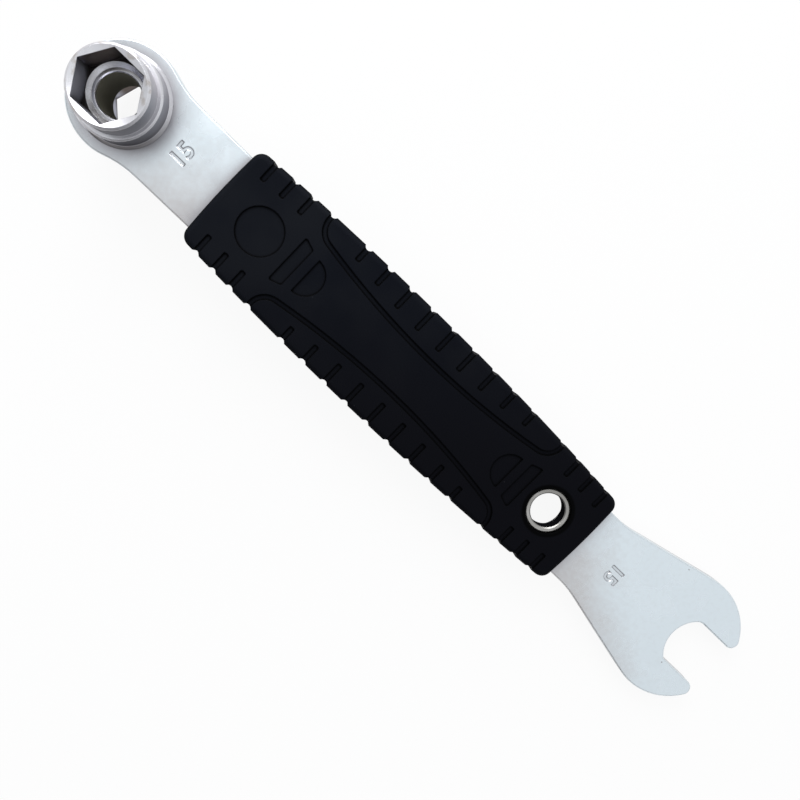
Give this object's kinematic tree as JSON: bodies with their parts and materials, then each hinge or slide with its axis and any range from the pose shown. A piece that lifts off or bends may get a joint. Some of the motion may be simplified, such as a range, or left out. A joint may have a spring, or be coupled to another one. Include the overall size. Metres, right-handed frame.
{
  "type": "pedal wrench",
  "caption": "Flat steel pedal wrench with an open jaw, a double-ended hexagon socket set through its round head, and a grooved rubber grip with a hanging hole.",
  "frame": {"origin": "on the socket's axis, at the mid-plane of the flat plate", "axes": "+X along the handle from the socket to the open jaw, +Y across the plate, +Z along the socket's axis out of its 15 mm mouth"},
  "size_m": [0.238, 0.0388, 0.032],
  "materials": {
    "plated_steel": "satin plated steel plate with a fine even grain",
    "plated_steel_turned": "satin plated, turned steel",
    "moulded_rubber": "black moulded rubber, half matt"
  },
  "bodies": {
    "root": {"plate": "plated_steel", "socket": "plated_steel_turned", "grip": "moulded_rubber", "eyelet": "plated_steel_turned"}
  },
  "joints": []
}
